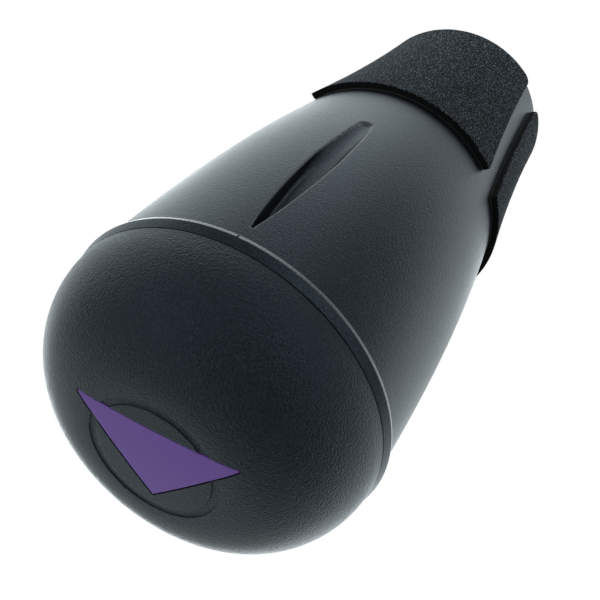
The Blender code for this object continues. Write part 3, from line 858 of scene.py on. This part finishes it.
class Bench:
    """Node tree of one finish, or of the surroundings."""

    def __init__(self, tree):
        self.tree = tree

    def node(self, kind, settings=None, sockets=None, output=0):
        """Add a node with its settings, then the values or wires of its sockets."""
        made = self.tree.nodes.new(kind)
        for name, value in (settings or {}).items():
            setattr(made, name, value)
        for name, value in (sockets or {}).items():
            self.feed(made.inputs[name], value)
        return Wire(self, made.outputs[output])

    def feed(self, socket, value):
        """Link a wire to a socket, or set the socket's own value."""
        if isinstance(value, Wire):
            self.tree.links.new(value.socket, socket)
        else:
            socket.default_value = value

    def mix(self, share, first, second):
        """Colour between two colours."""
        return self.node("ShaderNodeMix", {"data_type": "RGBA"}, {0: share, 6: first, 7: second}, 2)

    def between(self, value, low, high):
        """Share from 0 to 1 of the way from a low value to a high one."""
        return self.node(
            "ShaderNodeMapRange",
            {"interpolation_type": "SMOOTHSTEP"},
            {"Value": value, "From Min": low, "From Max": high},
        )

    def exponent(self, power):
        """The number e raised to a power."""
        return self.node("ShaderNodeMath", {"operation": "EXPONENT"}, {0: power})

    def grain(self, place, scale, detail=2.0, roughness=0.5):
        """Noise with features about one part in scale of a metre."""
        return self.node(
            "ShaderNodeTexNoise",
            None,
            {"Vector": place, "Scale": scale, "Detail": detail, "Roughness": roughness},
        )

    def cells(self, place, scale):
        """Distance from the nearest centre of many random cells."""
        return self.node(
            "ShaderNodeTexVoronoi",
            {"feature": "F1"},
            {"Vector": place, "Scale": scale, "Randomness": 1.0},
            "Distance",
        )

    def bump(self, height, distance, strength=1.0):
        """Normal of a surface with a relief; the distance is the relief's depth."""
        return self.node(
            "ShaderNodeBump", None, {"Strength": strength, "Distance": distance, "Height": height}
        )

    def measure(self, operation, first, second):
        """Number that a Vector Math node makes of two vectors."""
        return self.node(
            "ShaderNodeVectorMath", {"operation": operation}, {0: first, 1: second}, "Value"
        )

    def behind_lens(self, glow, plain):
        """Plain tone for what the camera sees, and the studio's glow for every other ray."""
        cast = self.node(
            "ShaderNodeVectorMath", {"operation": "SCALE"}, {0: LIGHT_TINT, "Scale": glow}
        )
        seen = self.node("ShaderNodeLightPath", None, None, "Is Camera Ray")
        return self.mix(seen, cast, plain)


def finish(name, fixed, varied):
    """Material whose fixed sockets are plain values and whose varied ones come from nodes."""
    material = bpy.data.materials.new(name)
    material.use_nodes = True
    bench = Bench(material.node_tree)
    shader = material.node_tree.nodes["Principled BSDF"]
    for socket, value in fixed.items():
        shader.inputs[socket].default_value = value
    place = bench.node("ShaderNodeTexCoord", None, None, "Object")
    for socket, value in varied(bench, place).items():
        bench.feed(shader.inputs[socket], value)
    material.diffuse_color = grey(0.02)
    return material


def grey(value, tint=(1.0, 1.0, 1.0)):
    """Grey colour, leaning towards a tint."""
    return (value * tint[0], value * tint[1], value * tint[2], 1.0)


def spark_texture(bench, place, relief):
    """Fine spark texture of the mould, with a faint unevenness under it and paler specks."""
    fine = bench.grain(place, 1800.0, detail=1.0)
    broad = bench.grain(place, 900.0, roughness=0.6)
    bump = bench.bump(fine + broad * 0.25, relief)
    speck = bench.between(bench.grain(place, 1500.0, roughness=0.7), SPECK_START, SPECK_FULL)
    tone = bench.mix(speck, grey(0.0005, PLASTIC_TINT), grey(0.0150, PLASTIC_TINT))
    return {"Base Color": tone, "Roughness": 0.32 + 0.10 * fine, "Normal": bump}


def shell_grain(bench, place):
    """Body shell: the shallower texture."""
    return spark_texture(bench, place, SHELL_RELIEF)


def dome_grain(bench, place):
    """Cap: the deeper texture."""
    return spark_texture(bench, place, DOME_RELIEF)


def painted_edge_highlight(bench, place):
    """Collar's bevel and scoops' lips: a little smoother, their colour painted paler as a
    highlight.
    """
    fine = bench.grain(place, 1700.0, detail=1.0)
    bump = bench.bump(fine, EDGE_RELIEF)
    # The pale end of this colour is a painted highlight on the edges
    tone = bench.mix(fine, grey(0.025, EDGE_HIGHLIGHT_TINT), grey(0.120, EDGE_HIGHLIGHT_TINT))
    return {"Base Color": tone, "Roughness": 0.24 + 0.08 * fine, "Normal": bump}


def inner_grain(bench, place):
    """Plain moulded plastic of the pieces inside."""
    fine = bench.grain(place, 1300.0)
    bump = bench.bump(fine, 0.0001, strength=0.25)
    tone = bench.mix(fine, grey(0.014), grey(0.021))
    return {"Base Color": tone, "Roughness": 0.42 + 0.12 * fine, "Normal": bump}


def foam_grain(bench, place):
    """Skin of the foam: fine cells in near-black, with scattered pale flecks."""
    cells = bench.cells(place, 1500.0)
    fine = bench.grain(place, 2400.0, detail=1.0, roughness=0.7)
    bump = bench.bump(cells * 0.7 + fine * 0.5, 0.0004, strength=0.8)
    fleck = bench.between(fine, FLECK_START, FLECK_FULL) ** FLECK_FADE
    tone = bench.mix(fleck, grey(0.0003, FOAM_TINT), grey(0.3000, FOAM_TINT))
    return {"Base Color": tone, "Normal": bump}


def cut_grain(bench, place):
    """Cut side of the foam: dark and rough, with open cells."""
    cells = bench.cells(place, 1700.0)
    bump = bench.bump(cells, 0.0003, strength=0.8)
    return {"Base Color": bench.mix(cells, grey(0.003), grey(0.012)), "Normal": bump}


def tape_grain(bench, place):
    """Dark grey tape, its carrier a little uneven."""
    fine = bench.grain(place, 900.0)
    bump = bench.bump(fine, 0.0001, strength=0.2)
    return {"Base Color": bench.mix(fine, grey(0.07), grey(0.12)), "Normal": bump}


def enamel_grain(bench, place):
    """Satin enamel with a hint of orange peel."""
    peel = bench.grain(place, 700.0, detail=1.0, roughness=0.4)
    broad = bench.grain(place, 60.0)
    bump = bench.bump(peel, 0.0001, strength=0.12)
    tone = bench.mix(broad, ENAMEL_DEEP, ENAMEL_LIGHT)
    return {"Base Color": tone, "Roughness": 0.30 + 0.08 * peel, "Normal": bump}


def felt_grain(bench, place):
    """Pressed felt: short tangled fibres and a mottled grey."""
    fibre = bench.node(
        "ShaderNodeTexNoise",
        None,
        {"Vector": place, "Scale": 800.0, "Detail": 6.0, "Distortion": 2.5},
    )
    bump = bench.bump(fibre, 0.0005, strength=0.9)
    return {"Base Color": bench.mix(fibre, grey(0.06), grey(0.19)), "Normal": bump}


def dress_mute():
    """All pieces of the mute with their finishes."""
    moulded = {"IOR": 1.5, "Specular Tint": GLOSS_TINT}
    soft = {"Roughness": 0.9, "IOR": 1.2, "Sheen Weight": 0.03, "Sheen Roughness": 0.4}
    shell_plastic = finish("shell_plastic", moulded, shell_grain)
    dome_plastic = finish("dome_plastic", moulded, dome_grain)
    # Second finish of the shell: its edges, with a painted highlight in their colour
    shell_edge_highlight = finish("shell_edge_highlight", {"IOR": 1.55}, painted_edge_highlight)
    inner_plastic = finish("inner_plastic", {"IOR": 1.5}, inner_grain)
    foam = finish("foam", soft, foam_grain)
    foam_cut = finish("foam_cut", {"Roughness": 0.95, "IOR": 1.3}, cut_grain)
    adhesive = finish("adhesive", {"Roughness": 0.6}, tape_grain)
    enamel = finish("badge_enamel", {"IOR": 1.42}, enamel_grain)
    felt = finish("felt", {"Roughness": 0.95, "Sheen Weight": 0.4}, felt_grain)

    piece("shell", shape_shell(), [shell_plastic, shell_edge_highlight], "body_shell")
    piece("dome", shape_cap(), [dome_plastic], "end_cap")
    piece("badge", shape_badge(), [enamel], "badge_plate")
    for count, turn in enumerate(STRIP_TURNS, 1):
        block = shape_foam(turn)
        strip = piece(f"foam_strip_{count}", block, [foam, foam_cut], f"neck_pad_{count}")
        tape = shape_strip(TAPE_LOW, TAPE_HIGH, turn, TAPE_MARGIN, 0.0, TAPE_COLUMNS, TAPE_ROWS)
        piece(f"tape_{count}", tape, [adhesive, adhesive], f"pad_tape_{count}")
    piece("funnel_baffle", shape_baffle(), [inner_plastic], "baffle")
    piece("tone_tube", shape_tube(), [inner_plastic], "air_tube")
    disc = piece("felt_disc", shape_felt(), [felt], "damping_disc")


def lay_floor():
    """Floor: plain and pale where it is seen. Its light on the mute is low in front, with pools."""
    bm = bmesh.new()
    bmesh.ops.create_grid(bm, x_segments=1, y_segments=1, size=FLOOR_REACH)
    mesh = bpy.data.meshes.new("floor")
    bm.to_mesh(mesh)
    bm.free()
    floor = bpy.data.objects.new("floor", mesh)
    bpy.context.scene.collection.objects.link(floor)
    material = bpy.data.materials.new("floor_paint")
    material.use_nodes = True
    bench = Bench(material.node_tree)
    shader = material.node_tree.nodes["Principled BSDF"]
    shader.inputs["Base Color"].default_value = grey(0.02)
    shader.inputs["Roughness"].default_value = 0.9
    shader.inputs["Specular IOR Level"].default_value = 0.0
    shader.inputs["Emission Strength"].default_value = 1.0
    place = bench.node("ShaderNodeTexCoord", None, None, "Object")
    forward = bench.measure("DOT_PRODUCT", place, compass(FRONT_AZIMUTH, 0.0))
    front = bench.between(forward, FRONT_START, FRONT_END)
    glow = FLOOR_LIGHT + (FRONT_LIGHT - FLOOR_LIGHT) * front
    for distance, azimuth, spread_out, strength in FLOOR_POOLS:
        away = bench.measure("DISTANCE", place, compass(azimuth, 0.0) * distance)
        glow = glow + strength * bench.exponent(-1.0 * (away / spread_out) ** 2.0)
    bench.feed(shader.inputs["Emission Color"], bench.behind_lens(glow, PLAIN_FLOOR))
    mesh.materials.append(material)


def light_studio():
    """Walls: plain and pale where they are seen. Their light is dim, with broad soft lights."""
    world = bpy.data.worlds.new("studio")
    bpy.context.scene.world = world
    world.use_nodes = True
    bench = Bench(world.node_tree)
    way = bench.node("ShaderNodeTexCoord", None, None, "Generated")
    glow = STUDIO_LIGHT
    for azimuth, height, spread_out, strength in SOFT_LIGHTS:
        facing = bench.measure("DOT_PRODUCT", way, compass(azimuth, height))
        tightness = SOFT_LIGHT_FALL / (1.0 - math.cos(math.radians(spread_out)))
        glow = glow + strength * bench.exponent((facing - 1.0) * tightness)
    background = world.node_tree.nodes["Background"]
    bench.feed(background.inputs["Color"], bench.behind_lens(glow, PLAIN_WALL))


def place_camera():
    """Camera at the picture's viewing angle."""
    camera = bpy.data.cameras.new("camera")
    camera.lens = CAMERA_LENS
    camera.sensor_width = SENSOR
    camera.clip_start = CAMERA_NEAR
    thing = bpy.data.objects.new("camera", camera)
    bpy.context.scene.collection.objects.link(thing)
    right = CAMERA_VIEW.cross(CAMERA_UP).normalized()
    up = right.cross(CAMERA_VIEW).normalized()
    turn = Matrix((right, up, -CAMERA_VIEW.normalized())).transposed().to_4x4()
    thing.matrix_world = Matrix.Translation(CAMERA_PLACE) @ turn
    bpy.context.scene.camera = thing


dress_mute()
lay_floor()
light_studio()
place_camera()
bpy.context.scene.view_settings.view_transform = "Standard"
